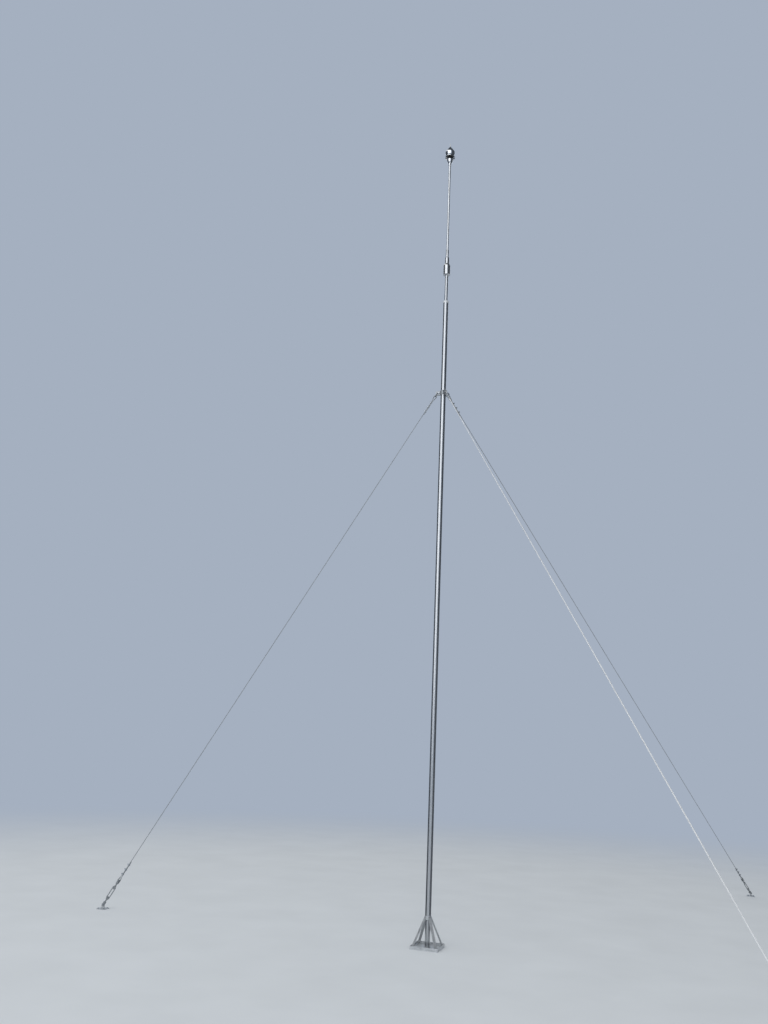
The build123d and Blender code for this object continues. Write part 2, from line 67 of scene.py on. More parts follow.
# Studio
# A plain pale floor that melts into a pale background, and three soft panels: a wide one left of
# the camera draws the bright streak down the tubes, and weak ones stand behind and overhead. Cards
# that only the metal sees, grey at the sides and overhead and white below, draw its edges.
def hex_colour(code):
    channels = [int(code[i:i + 2], 16) / 255 for i in (1, 3, 5)]
    return [c / 12.92 if c <= 0.04045 else ((c + 0.055) / 1.055) ** 2.4 for c in channels] + [1.0]


def add_node(tree, kind, settings=None, links=None):
    # Settings are inputs, colour stops, or the node's own properties. A node that is linked gives
    # its first output.
    node = tree.nodes.new(kind)
    for name, value in (settings or {}).items():
        if name == "stops":
            for element, (position, colour) in zip(node.color_ramp.elements, value):
                element.position = position
                element.color = hex_colour(colour)
        elif isinstance(name, int) or name in node.inputs:
            node.inputs[name].default_value = hex_colour(value) if isinstance(value, str) else value
        else:
            setattr(node, name, value)
    for name, source in (links or {}).items():
        output = source.outputs[0] if isinstance(source, bpy.types.Node) else source
        tree.links.new(output, node.inputs[name])
    return node


def new_material(name):
    material = bpy.data.materials.new(name)
    material.use_nodes = True
    material.node_tree.nodes.clear()
    return material, material.node_tree


def seen_rays(tree):
    # One for what the camera sees, straight, through glass or mirrored in metal, and else nought
    ray = add_node(tree, "ShaderNodeLightPath")
    straight = add_node(
        tree, "ShaderNodeMath", {"operation": "MAXIMUM"},
        {0: ray.outputs["Is Camera Ray"], 1: ray.outputs["Is Transmission Ray"]},
    )
    return add_node(
        tree, "ShaderNodeMath", {"operation": "MAXIMUM"},
        {0: straight, 1: ray.outputs["Is Glossy Ray"]},
    )


bpy.context.scene.view_settings.view_transform = "Standard"
backdrop_colour = "#A5B0C0"
world = bpy.data.worlds.new("studio_air")
bpy.context.scene.world = world
world.use_nodes = True
air = world.node_tree
air.nodes.clear()
room_light = add_node(air, "ShaderNodeBackground", {"Color": "#D8DCE1", "Strength": 0.72})
backdrop = add_node(air, "ShaderNodeBackground", {"Color": backdrop_colour, "Strength": 1.0})
mixed = add_node(air, "ShaderNodeMixShader", {}, {0: seen_rays(air), 1: room_light, 2: backdrop})
add_node(air, "ShaderNodeOutputWorld", {}, {"Surface": mixed})


def stand_at(azimuth, distance, height):
    # Also gives the level direction at an azimuth, one unit long, for a distance of 1 at height 0
    angle = math.radians(azimuth)
    return Vector((distance * math.cos(angle), distance * math.sin(angle), height))


def add_panel(name, place, facing, width, tall, power):
    bpy.ops.object.light_add(type="AREA", location=place)
    panel = bpy.context.object
    panel.name = name
    panel.data.shape = "RECTANGLE"
    panel.data.size = width
    panel.data.size_y = tall
    panel.data.energy = power
    panel.rotation_euler = facing.to_track_quat("-Z", "Y").to_euler()
    panel.visible_camera = False


down = Vector((0, 0, -1))
add_panel("key_panel", stand_at(264, 14.0, 17.0), stand_at(84, 1, 0), 19.0, 28.0, 1970)
add_panel("rear_panel", stand_at(105, 13.0, 15.0), stand_at(285, 1, 0), 8.0, 6.0, 220)
add_panel("top_panel", Vector((-9.5, -4.0, 20.0)), down, 7.0, 22.0, 600)


def glowing_card(name, colour):
    material, tree = new_material(name)
    glow = add_node(tree, "ShaderNodeEmission", {"Color": colour, "Strength": 1.0})
    add_node(tree, "ShaderNodeOutputMaterial", {}, {"Surface": glow})
    return material


grey_card = glowing_card("grey_card", "#4A5058")
white_card = glowing_card("white_card", "#E9ECEF")
for name, place, facing, width, tall, finish in (
    ("right_card", stand_at(10, 13.0, 11.3), stand_at(190, 1, 0), 30.0, 22.0, grey_card),
    ("left_card", stand_at(183, 13.0, 11.3), stand_at(3, 1, 0), 19.0, 22.0, grey_card),
    ("low_right_card", stand_at(12, 0.45, 1.2), stand_at(192, 1, 0), 1.05, 2.36, grey_card),
    ("low_left_card", stand_at(183, 0.45, 1.2), stand_at(3, 1, 0), 0.72, 2.36, grey_card),
    ("ceiling_card", Vector((0, 0, 26.0)), down, 44.0, 44.0, grey_card),
    ("floor_card", stand_at(15, 9.0, 0.03), Vector((0, 0, 1)), 10.0, 16.0, white_card),
):
    bpy.ops.mesh.primitive_plane_add(size=1, location=place)
    card = bpy.context.object
    card.name = name
    card.scale = (width, tall, 1)
    card.rotation_euler = facing.to_track_quat("Z", "Y").to_euler()
    card.visible_camera = False
    card.visible_diffuse = False
    card.visible_shadow = False
    card.data.materials.append(finish)

# Matt paint with a faint mottle of 0.7 m, and no gloss, so that the cards leave no mark on it
bpy.ops.mesh.primitive_plane_add(size=900)
floor = bpy.context.object
floor.name = "studio_floor"
floor_paint, tree = new_material("pale_floor_paint")
place = add_node(tree, "ShaderNodeTexCoord").outputs["Object"]
mottle = add_node(tree, "ShaderNodeTexNoise", {"Scale": 1.5, "Detail": 3.0}, {"Vector": place})
tone = add_node(
    tree, "ShaderNodeValToRGB", {"stops": [(0.3, "#D2D6D9"), (0.7, "#D7DBDE")]}, {"Fac": mottle}
)
paint = add_node(
    tree, "ShaderNodeBsdfPrincipled", {"Roughness": 0.9, "Specular IOR Level": 0.0},
    {"Base Color": tone},
)
# From 5 m out the floor takes on the background's colour, and from 15 m it can't be told from it
reach = add_node(tree, "ShaderNodeVectorMath", {"operation": "LENGTH"}, {0: place})
fade = add_node(
    tree, "ShaderNodeMapRange",
    {"interpolation_type": "SMOOTHSTEP", "From Min": 5.0, "From Max": 15.0},
    {"Value": reach.outputs["Value"]},
)
fade_seen = add_node(
    tree, "ShaderNodeMath", {"operation": "MULTIPLY"}, {0: fade, 1: seen_rays(tree)}
)
far_floor = add_node(tree, "ShaderNodeEmission", {"Color": backdrop_colour, "Strength": 1.0})
floor_mix = add_node(tree, "ShaderNodeMixShader", {}, {0: fade_seen, 1: paint, 2: far_floor})
add_node(tree, "ShaderNodeOutputMaterial", {}, {"Surface": floor_mix})
floor.data.materials.append(floor_paint)


# Foot
# A square steel plate with a rim of angle iron, four flat-bar braces and a socket collar round a
# stub tube, welded together and hot-dip galvanised. Four bolts hold it down.
def galvanised(name, light, dark, spangle_mm, chalky, bright):
    # Hot-dip zinc: flat grey crystals that take the light differently, under the pale, chalky
    # skin of weathered zinc, which hides the metal more in some patches of 70 mm. A scale counts
    # the grains in a metre. The fine grain of 2.4 mm is coarser than the real one so that it shows.
    material, tree = new_material(name)
    place = add_node(tree, "ShaderNodeTexCoord").outputs["Object"]
    crystals = add_node(
        tree, "ShaderNodeTexVoronoi", {"Scale": 1000 / spangle_mm}, {"Vector": place}
    )
    facet = add_node(tree, "ShaderNodeSeparateColor", {}, {"Color": crystals.outputs["Color"]})
    patches = add_node(
        tree, "ShaderNodeTexNoise", {"Scale": 14.0, "Detail": 4.0}, {"Vector": place}
    )
    bare = add_node(
        tree, "ShaderNodeMapRange",
        {"From Min": 0.3, "From Max": 0.7, "To Min": chalky, "To Max": bright}, {"Value": patches},
    )
    blend = add_node(
        tree, "ShaderNodeMath", {"operation": "MULTIPLY_ADD", 1: 0.45},
        {0: facet.outputs["Red"], 2: patches},
    )
    colour = add_node(
        tree, "ShaderNodeValToRGB", {"stops": [(0.35, dark), (0.95, light)]}, {"Fac": blend}
    )
    gloss = add_node(
        tree, "ShaderNodeMapRange", {"To Min": 0.34, "To Max": 0.58},
        {"Value": facet.outputs["Green"]},
    )
    grain = add_node(tree, "ShaderNodeTexNoise", {"Scale": 420.0, "Detail": 3.0}, {"Vector": place})
    bump = add_node(
        tree, "ShaderNodeBump", {"Strength": 0.12, "Distance": 0.0004}, {"Height": grain}
    )
    zinc = add_node(
        tree, "ShaderNodeBsdfPrincipled", {},
        {"Base Color": colour, "Metallic": bare, "Roughness": gloss, "Normal": bump},
    )
    add_node(tree, "ShaderNodeOutputMaterial", {}, {"Surface": zinc})
    return material


def finish_node(node, material):
    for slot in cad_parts[node].material_slots:
        slot.material = material


galvanised_steel = galvanised(
    "hot_dip_galvanised_steel", "#D3D6D8", "#AFB3B6", spangle_mm=8.0, chalky=0.35, bright=0.75
)
for node in (
    "floor_plate", "foot_frame", "socket_collar",
    "front_right_brace", "rear_right_brace", "rear_left_brace", "front_left_brace",
):
    finish_node(node, galvanised_steel)


def close_up(reach=0.000002):
    # Joins points that meet, closes what is left open at the ends, and turns all faces outwards
    bpy.ops.object.mode_set(mode="EDIT")
    bpy.ops.mesh.select_all(action="SELECT")
    bpy.ops.mesh.remove_doubles(threshold=reach)
    bpy.ops.mesh.fill_holes(sides=0)
    bpy.ops.mesh.normals_make_consistent(inside=False)
    bpy.ops.object.mode_set(mode="OBJECT")


def turn_piece(name, outline, sides=48):
    # As on a lathe: a circle drawn from step to step of the outline, widened or narrowed at each
    radius, height = outline[0]
    bpy.ops.object.select_all(action="DESELECT")
    bpy.ops.mesh.primitive_circle_add(vertices=sides, radius=radius, location=(0, 0, height))
    piece = bpy.context.object
    piece.name = name
    bpy.ops.object.mode_set(mode="EDIT")
    bpy.ops.mesh.select_all(action="SELECT")
    for next_radius, next_height in outline[1:]:
        bpy.ops.mesh.extrude_edges_move(
            TRANSFORM_OT_translate={"value": (0, 0, next_height - height)}
        )
        share = next_radius / radius
        bpy.ops.transform.resize(value=(share, share, 1), center_override=(0, 0, next_height))
        radius, height = next_radius, next_height
    bpy.ops.object.mode_set(mode="OBJECT")
    close_up()
    bpy.ops.object.transform_apply(location=True, rotation=True, scale=True)
    bpy.ops.object.shade_smooth_by_angle(angle=math.radians(32))
    return piece


def turn_hexagon(name, across, foot, thick):
    # A hexagon with its upper corners turned down by a bevel
    middle = foot + thick / 2
    bpy.ops.object.select_all(action="DESELECT")
    bpy.ops.mesh.primitive_cylinder_add(
        vertices=6, radius=across / 2 / math.cos(math.radians(30)), depth=thick,
        location=(0, 0, middle),
    )
    piece = bpy.context.object
    piece.name = name
    bpy.ops.object.transform_apply(location=True, rotation=True, scale=True)
    for edge in piece.data.edges:
        edge.select = all(piece.data.vertices[v].co.z > middle for v in edge.vertices)
    for face in piece.data.polygons:
        face.select = face.normal.z > 0.9
    bpy.ops.object.mode_set(mode="EDIT")
    bpy.ops.mesh.select_mode(type="EDGE")
    bpy.ops.mesh.bevel(offset=thick * 0.14, segments=2)
    bpy.ops.object.mode_set(mode="OBJECT")
    bpy.ops.object.shade_smooth_by_angle(angle=math.radians(20))
    return piece


def join_pieces(name, pieces):
    bpy.ops.object.select_all(action="DESELECT")
    for piece in pieces:
        piece.select_set(True)
    bpy.context.view_layer.objects.active = pieces[0]
    bpy.ops.object.join()
    joined = bpy.context.object
    joined.name = name
    joined.data.name = name
    return joined


def set_copies(source, name, places):
    # The finished piece is copied to each place, the copies are joined, and the first one goes
    copies = []
    for place in places:
        copy = source.copy()
        copy.data = source.data.copy()
        copy.data.transform(place)
        bpy.context.collection.objects.link(copy)
        copies.append(copy)
    bpy.data.objects.remove(source)
    return join_pieces(name, copies)


def hand_over(piece, material, slot, *nodes):
    # Gives a finished piece its material, and its place in the frame for any nodes it stands for
    piece.data.materials.clear()
    piece.data.materials.append(material)
    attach(piece, "root")
    if nodes:
        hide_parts(*nodes)


def bright_zinc():
    # Electroplated zinc with a clear passivate: brighter and bluer than dip zinc, with faint
    # clouds 6 mm across
    material, tree = new_material("bright_zinc_plate")
    place = add_node(tree, "ShaderNodeTexCoord").outputs["Object"]
    clouds = add_node(
        tree, "ShaderNodeTexNoise", {"Scale": 160.0, "Detail": 4.0}, {"Vector": place}
    )
    tone = add_node(
        tree, "ShaderNodeValToRGB", {"stops": [(0.3, "#A9AFB6"), (0.7, "#CBD0D4")]}, {"Fac": clouds}
    )
    gloss = add_node(tree, "ShaderNodeMapRange", {"To Min": 0.2, "To Max": 0.38}, {"Value": clouds})
    bump = add_node(
        tree, "ShaderNodeBump", {"Strength": 0.1, "Distance": 0.0002}, {"Height": clouds}
    )
    plate = add_node(
        tree, "ShaderNodeBsdfPrincipled", {"Metallic": 1.0},
        {"Base Color": tone, "Roughness": gloss, "Normal": bump},
    )
    add_node(tree, "ShaderNodeOutputMaterial", {}, {"Surface": plate})
    return material


zinc_plate = bright_zinc()
bolt_radius = 0.0039
bolt_across = 0.013
bolt_head = 0.0053
washer_wall = 0.0016


def turn_washer(name, seat):
    # A flat ring, whose outline ends where it starts
    bore = 0.0042
    rim = 0.008
    top = seat + washer_wall
    return turn_piece(name, [(bore, seat), (rim, seat), (rim, top), (bore, top), (bore, seat)], 40)


def hold_down_bolt(name, seat):
    # M8 hexagon bolt with a round washer, its shank down through the plate it holds
    washer = turn_washer(name + "_washer", seat)
    head = turn_hexagon(name + "_head", bolt_across, seat + washer_wall, bolt_head)
    shank = turn_piece(name + "_shank", [(bolt_radius, 0.0), (bolt_radius, seat + 0.002)], 24)
    return join_pieces(name, [head, washer, shank])


rim_top = 0.008
bolt_x = 0.1085
bolt_y = 0.060
foot_bolts = set_copies(hold_down_bolt("foot_bolt", rim_top), "foot_bolts", [
    Matrix.Translation((x, y, 0)) @ Matrix.Rotation(turn, 4, "Z")
    for x, y, turn in (
        (bolt_x, bolt_y, 0.2), (bolt_x, -bolt_y, 0.9), (-bolt_x, bolt_y, 0.5),
        (-bolt_x, -bolt_y, 0.05),
    )
])
hand_over(foot_bolts, zinc_plate, "galvanised_steel")


def weld_metal():
    # Fillet welds galvanised with the rest: rounder and a little rougher than the flat steel,
    # with a grain of 4 mm
    material, tree = new_material("galvanised_weld_bead")
    place = add_node(tree, "ShaderNodeTexCoord").outputs["Object"]
    grain = add_node(tree, "ShaderNodeTexNoise", {"Scale": 260.0, "Detail": 4.0}, {"Vector": place})
    tone = add_node(
        tree, "ShaderNodeValToRGB", {"stops": [(0.35, "#A2A6A8"), (0.7, "#BEC1C3")]}, {"Fac": grain}
    )
    gloss = add_node(tree, "ShaderNodeMapRange", {"To Min": 0.42, "To Max": 0.62}, {"Value": grain})
    bead = add_node(
        tree, "ShaderNodeBsdfPrincipled", {"Metallic": 1.0},
        {"Base Color": tone, "Roughness": gloss},
    )
    add_node(tree, "ShaderNodeOutputMaterial", {}, {"Surface": bead})
    return material


weld_bead = weld_metal()
# Each ripple of a weld lies this share of its own size past the last
ripple_share = 0.36


def weld_drop(size):
    # One ripple of a weld: a flattened drop
    bpy.ops.object.select_all(action="DESELECT")
    bpy.ops.mesh.primitive_uv_sphere_add(segments=10, ring_count=7, radius=size / 2)
    drop = bpy.context.object
    bpy.ops.object.mode_set(mode="EDIT")
    bpy.ops.mesh.select_all(action="SELECT")
    bpy.ops.transform.resize(value=(0.72, 1, 1), center_override=(0, 0, 0))
    bpy.ops.object.mode_set(mode="OBJECT")
    bpy.ops.object.shade_smooth()
    return drop


def weld_line(start, end, size):
    # A straight run of ripples
    way = end - start
    drop = weld_drop(size)
    run = drop.modifiers.new("run", "ARRAY")
    run.count = max(2, round(way.length / (size * ripple_share)))
    run.use_relative_offset = False
    run.use_constant_offset = True
    run.constant_offset_displace = (way.length / (run.count - 1), 0, 0)
    bpy.ops.object.modifier_apply(modifier="run")
    turn = way.to_track_quat("X", "Z").to_matrix().to_4x4()
    drop.data.transform(Matrix.Translation(start) @ turn)
    return drop


def weld_ring(radius, height, size):
    steps = round(2 * math.pi * radius / (size * ripple_share))
    drop = weld_drop(size)
    drop.data.transform(Matrix.Translation((0, -radius, height)))
    bpy.ops.object.mode_set(mode="EDIT")
    bpy.ops.mesh.select_all(action="SELECT")
    bpy.ops.mesh.spin(
        steps=steps - 1, dupli=True, angle=2 * math.pi * (steps - 1) / steps,
        center=(0, 0, 0), axis=(0, 0, 1),
    )
    bpy.ops.object.mode_set(mode="OBJECT")
    return drop


def weld_across(turn, out, middle, height, size):
    # A straight weld 24 mm long, this far out, across the direction it is turned to
    start, end = (turn @ Vector((out, middle + along, height)) for along in (-0.012, 0.012))
    return weld_line(start, end, size)


# The stub tube is welded to the plate, and to the foot of the collar
stub_radius = 0.0222
collar_radius = 0.0287
foot_welds = [weld_ring(stub_radius, 0.0052, 0.005), weld_ring(stub_radius, 0.2178, 0.005)]
for side in range(4):
    turn = Matrix.Rotation(side * math.pi / 2, 4, "Z")
    # Short stitches hold the rim to the plate
    for middle in (-0.07, 0.0, 0.07):
        foot_welds.append(weld_across(turn, 0.0998, middle, 0.0055, 0.004))
    # Each brace is welded across its foot and across its upper end
    turn = Matrix.Rotation((side + 0.5) * math.pi / 2, 4, "Z")
    foot_welds.append(weld_across(turn, 0.1505, 0.0, 0.0085, 0.0045))
    foot_welds.append(weld_across(turn, 0.1438, 0.0, 0.0085, 0.004))
    top = [
        turn @ Vector((math.sqrt(collar_radius ** 2 - y * y) + 0.001, y, 0.2405))
        for y in (-0.012, -0.004, 0.004, 0.012)
    ]
    for first, second in zip(top, top[1:]):
        foot_welds.append(weld_line(first, second, 0.0045))
hand_over(join_pieces("foot_welds", foot_welds), weld_bead, "galvanised_steel")


# Main tube and middle tube
# Thin-walled stainless tube, drawn and polished: fine lines run down it, and rain has left it
# a little duller in long streaks. The middle tube slides into the bush on top.
def drawn_tube():
    # The lines are 1.4 mm apart, coarser than the real ones so that they show, and 0.4 m long.
    # The streaks are 17 mm wide and 1.1 m long.
    material, tree = new_material("drawn_stainless_tube")
    place = add_node(tree, "ShaderNodeTexCoord").outputs["Object"]
    fine = add_node(tree, "ShaderNodeMapping", {"Scale": (700, 700, 2.5)}, {"Vector": place})
    lines = add_node(tree, "ShaderNodeTexNoise", {"Scale": 1.0, "Detail": 3.0}, {"Vector": fine})
    long = add_node(tree, "ShaderNodeMapping", {"Scale": (60, 60, 0.9)}, {"Vector": place})
    streaks = add_node(tree, "ShaderNodeTexNoise", {"Scale": 1.0, "Detail": 5.0}, {"Vector": long})
    tone = add_node(
        tree, "ShaderNodeValToRGB", {"stops": [(0.3, "#B4B6B8"), (0.75, "#D2D4D6")]},
        {"Fac": streaks},
    )
    dull = add_node(
        tree, "ShaderNodeMapRange", {"To Min": 0.16, "To Max": 0.28}, {"Value": streaks}
    )
    gloss = add_node(
        tree, "ShaderNodeMath", {"operation": "MULTIPLY_ADD", 1: 0.12}, {0: lines, 2: dull}
    )
    bump = add_node(
        tree, "ShaderNodeBump", {"Strength": 0.08, "Distance": 0.0001}, {"Height": lines}
    )
    steel = add_node(
        tree, "ShaderNodeBsdfPrincipled", {"Metallic": 1.0},
        {"Base Color": tone, "Roughness": gloss, "Normal": bump},
    )
    add_node(tree, "ShaderNodeOutputMaterial", {}, {"Surface": steel})
    return material


stainless_tube = drawn_tube()
for node in ("spigot_tube", "main_tube", "middle_tube"):
    finish_node(node, stainless_tube)


# Slim rod
# A thin stainless tube, belt ground to a bright satin. Its foot stands in the lock collar, and
# its upper end carries the terminal.
def satin_finish():
    # Belt grinding: lines round the rod that spread its streak of light over half its width. They
    # are 1.1 mm apart, coarser than the real ones so that they show, and the clouds are 110 mm.
    material, tree = new_material("satin_ground_stainless")
    place = add_node(tree, "ShaderNodeTexCoord").outputs["Object"]
    around = add_node(tree, "ShaderNodeMapping", {"Scale": (8, 8, 900)}, {"Vector": place})
    lines = add_node(tree, "ShaderNodeTexNoise", {"Scale": 1.0, "Detail": 2.0}, {"Vector": around})
    clouds = add_node(tree, "ShaderNodeTexNoise", {"Scale": 9.0, "Detail": 3.0}, {"Vector": place})
    tone = add_node(
        tree, "ShaderNodeValToRGB", {"stops": [(0.3, "#D6D8DA"), (0.7, "#E6E8EA")]}, {"Fac": clouds}
    )
    gloss = add_node(
        tree, "ShaderNodeMath", {"operation": "MULTIPLY_ADD", 1: 0.12, 2: 0.3}, {0: lines}
    )
    satin = add_node(
        tree, "ShaderNodeBsdfPrincipled", {"Metallic": 1.0},
        {"Base Color": tone, "Roughness": gloss},
    )
    add_node(tree, "ShaderNodeOutputMaterial", {}, {"Surface": satin})
    return material


finish_node("slim_rod", satin_finish())


# Bush, coupling, sleeve and lock collar
# Turned from round steel bar: a cutter leaves fine rings round them, and they are brighter
# than the tubes. The bush is blasted after turning, so it is bright all the way across.
def turned_steel_finish():
    # Rings 0.6 mm apart, coarser than a cutter's so that they show, and marks of handling 30 mm
    # across
    material, tree = new_material("lathe_turned_steel")
    place = add_node(tree, "ShaderNodeTexCoord").outputs["Object"]
    around = add_node(tree, "ShaderNodeMapping", {"Scale": (3, 3, 1600)}, {"Vector": place})
    rings = add_node(tree, "ShaderNodeTexNoise", {"Scale": 1.0, "Detail": 2.0}, {"Vector": around})
    handled = add_node(
        tree, "ShaderNodeTexNoise", {"Scale": 35.0, "Detail": 4.0}, {"Vector": place}
    )
    tone = add_node(
        tree, "ShaderNodeValToRGB", {"stops": [(0.3, "#B9BBBC"), (0.7, "#D8D9DA")]},
        {"Fac": handled},
    )
    gloss = add_node(
        tree, "ShaderNodeMath", {"operation": "MULTIPLY_ADD", 1: 0.16, 2: 0.16}, {0: rings}
    )
    bump = add_node(
        tree, "ShaderNodeBump", {"Strength": 0.25, "Distance": 0.0001}, {"Height": rings}
    )
    steel = add_node(
        tree, "ShaderNodeBsdfPrincipled", {"Metallic": 1.0},
        {"Base Color": tone, "Roughness": gloss, "Normal": bump},
    )
    add_node(tree, "ShaderNodeOutputMaterial", {}, {"Surface": steel})
    return material


def blasted_finish():
    # Glass-bead blasting: a white, even satin that shows no streak. Its grain of 0.8 mm is
    # coarser than the real one so that it shows.
    material, tree = new_material("bead_blasted_steel")
    place = add_node(tree, "ShaderNodeTexCoord").outputs["Object"]
    grain = add_node(
        tree, "ShaderNodeTexNoise", {"Scale": 1200.0, "Detail": 2.0}, {"Vector": place}
    )
    tone = add_node(
        tree, "ShaderNodeValToRGB", {"stops": [(0.3, "#E2E4E5"), (0.7, "#EEF0F1")]}, {"Fac": grain}
    )
    gloss = add_node(tree, "ShaderNodeMapRange", {"To Min": 0.55, "To Max": 0.7}, {"Value": grain})
    satin = add_node(
        tree, "ShaderNodeBsdfPrincipled", {"Metallic": 0.6},
        {"Base Color": tone, "Roughness": gloss},
    )
    add_node(tree, "ShaderNodeOutputMaterial", {}, {"Surface": satin})
    return material


turned_steel = turned_steel_finish()
for node in ("coupling", "reducer_sleeve", "lock_collar"):
    finish_node(node, turned_steel)
finish_node("top_bush", blasted_finish())


# Terminal
# Spun brass shells, chrome plated: a cup below and a bell above, kept apart by a black moulded
# insulator, with a short turned needle on top.
def chrome_finish():
    # A mirror, a little dulled by smears 20 mm across
    material, tree = new_material("chrome_plate")
    place = add_node(tree, "ShaderNodeTexCoord").outputs["Object"]
    smears = add_node(tree, "ShaderNodeTexNoise", {"Scale": 45.0, "Detail": 5.0}, {"Vector": place})
    tone = add_node(
        tree, "ShaderNodeValToRGB", {"stops": [(0.35, "#D3D6D9"), (0.65, "#E4E6E8")]},
        {"Fac": smears},
    )
    gloss = add_node(
        tree, "ShaderNodeMapRange",
        {"From Min": 0.4, "From Max": 0.75, "To Min": 0.05, "To Max": 0.14}, {"Value": smears},
    )
    chrome = add_node(
        tree, "ShaderNodeBsdfPrincipled", {"Metallic": 1.0},
        {"Base Color": tone, "Roughness": gloss},
    )
    add_node(tree, "ShaderNodeOutputMaterial", {}, {"Surface": chrome})
    return material


def moulded_black():
    # Glass-filled resin: near black, with a half gloss and dust in patches of 17 mm. The pebbles
    # of its skin are 1.1 mm, coarser than the real ones so that they show.
    material, tree = new_material("moulded_black_resin")
    place = add_node(tree, "ShaderNodeTexCoord").outputs["Object"]
    skin = add_node(tree, "ShaderNodeTexNoise", {"Scale": 900.0, "Detail": 2.0}, {"Vector": place})
    dust = add_node(tree, "ShaderNodeTexNoise", {"Scale": 60.0, "Detail": 4.0}, {"Vector": place})
    tone = add_node(
        tree, "ShaderNodeValToRGB", {"stops": [(0.4, "#17181A"), (0.8, "#26282A")]}, {"Fac": dust}
    )
    gloss = add_node(tree, "ShaderNodeMapRange", {"To Min": 0.3, "To Max": 0.5}, {"Value": dust})
    bump = add_node(tree, "ShaderNodeBump", {"Strength": 0.2, "Distance": 0.0002}, {"Height": skin})
    resin = add_node(
        tree, "ShaderNodeBsdfPrincipled", {"IOR": 1.5},
        {"Base Color": tone, "Roughness": gloss, "Normal": bump},
    )
    add_node(tree, "ShaderNodeOutputMaterial", {}, {"Surface": resin})
    return material


chrome_plate = chrome_finish()
for node in ("rod_neck", "lower_cup", "bell", "needle"):
    finish_node(node, chrome_plate)
finish_node("insulator", moulded_black())


# Guy clamp
# Three bent straps of galvanised strip round the tube, darker than the foot: the darker tone is
# painted shade for the shadows round the clamp, over the strip's own zinc. Each pair of ears is
# drawn together by an M8 bolt near the tube, and carries a shackle further out.
# The darker stops here are painted shade for the shadows that fall round the clamp
strip_zinc_painted_shade = galvanised(
    "galvanised_strip_painted_shade", "#B0B4B7", "#8B8F92", spangle_mm=5.0, chalky=0.65, bright=0.95
)
for node in ("right_strap", "left_rear_strap", "left_front_strap"):
    finish_node(node, strip_zinc_painted_shade)

clamp_height = 5.0
nut_wall = 0.0065
thread_root = 0.0034
thread_pitch = 0.00125


def through_bolt(name, half, length):
    # Hexagon bolt, two washers and a nut, with its threads showing past the nut
    head = turn_hexagon(name + "_head", bolt_across, half + washer_wall, bolt_head)
    nut = turn_hexagon(name + "_nut", bolt_across, half + washer_wall, nut_wall)
    nut.data.transform(Matrix.Rotation(math.pi, 4, "X") @ Matrix.Rotation(0.3, 4, "Z"))
    upper = turn_washer(name + "_upper_washer", half)
    lower = turn_washer(name + "_lower_washer", half)
    lower.data.transform(Matrix.Rotation(math.pi, 4, "X"))
    steps = [(bolt_radius, half), (bolt_radius, -half)]
    reach = half
    while reach < length:
        steps += [
            (bolt_radius, -reach - 0.0002), (thread_root, -reach - 0.0006),
            (bolt_radius, -reach - 0.001),
        ]
        reach += thread_pitch
    shank = turn_piece(name + "_shank", steps, 24)
    return join_pieces(name, [head, nut, upper, lower, shank])


ear_bolts = set_copies(through_bolt("ear_bolt", 0.007, 0.018), "clamp_bolts", [
    Matrix.Translation((0, 0, clamp_height)) @ Matrix.Rotation(math.radians(azimuth), 4, "Z")
    @ Matrix.Translation((0.041, 0, 0)) @ Matrix.Rotation(math.radians(90), 4, "X")
    for azimuth in (60, 180, -60)
])
hand_over(ear_bolts, zinc_plate, "galvanised_steel")


# Shackles, thimbles and turnbuckles
# Drop-forged and dip galvanised in a basket, so their zinc is finer and duller than on the
# plates. The clevis screws have a rolled M12 thread, and the pins are kept by split pins.
forged_zinc = galvanised(
    "spun_galvanised_forging", "#A9ADB0", "#83878A", spangle_mm=3.0, chalky=0.7, bright=0.95
)
guys = {"left": (180.0, 3.2), "rear": (60.0, 5.7), "front": (-60.0, 5.7)}
ear_reach = 0.060
lug_height = 0.038
turnbuckle_length = 0.262
clevis_length = 0.032
shackle_pin_end = -0.0192
clevis_pin_end = -0.0132


def guy_place(azimuth, reach):
    # A place whose X runs down along the guy from its ear hole, with Z along the hole's axis
    turn = Matrix.Rotation(math.radians(azimuth), 3, "Z")
    ear = turn @ Vector((ear_reach, 0, clamp_height))
    lug = turn @ Vector((reach, 0, lug_height))
    along = (lug - ear).normalized()
    across = turn @ Vector((0, -1, 0))
    place = Matrix((along, across.cross(along), across)).transposed().to_4x4()
    place.translation = ear
    return place, (lug - ear).length


def cut_thread(name, radius, depth, pitch, length):
    # A ridge wound along X, turn after turn. It starts as one point, which vertex mode can select.
    bpy.ops.object.select_all(action="DESELECT")
    bpy.ops.mesh.primitive_plane_add(size=pitch)
    ridge = bpy.context.object
    ridge.name = name
    bpy.ops.object.mode_set(mode="EDIT")
    bpy.ops.mesh.select_mode(type="VERT")
    bpy.ops.mesh.select_all(action="SELECT")
    bpy.ops.mesh.merge(type="CENTER")
    bpy.ops.transform.translate(value=(0, radius, 0))
    for rise in (depth, -depth):
        bpy.ops.mesh.extrude_vertices_move(TRANSFORM_OT_translate={"value": (pitch / 2, rise, 0)})
    bpy.ops.object.mode_set(mode="OBJECT")
    bpy.ops.object.transform_apply(location=True, rotation=True, scale=True)
    wind = ridge.modifiers.new("wind", "SCREW")
    wind.axis = "X"
    wind.angle = 2 * math.pi
    wind.screw_offset = pitch
    wind.steps = 20
    wind.render_steps = 20
    wind.iterations = round(length / pitch)
    bpy.ops.object.modifier_apply(modifier="wind")
    close_up(0.00001)
    bpy.ops.object.shade_smooth_by_angle(angle=math.radians(40))
    return ridge


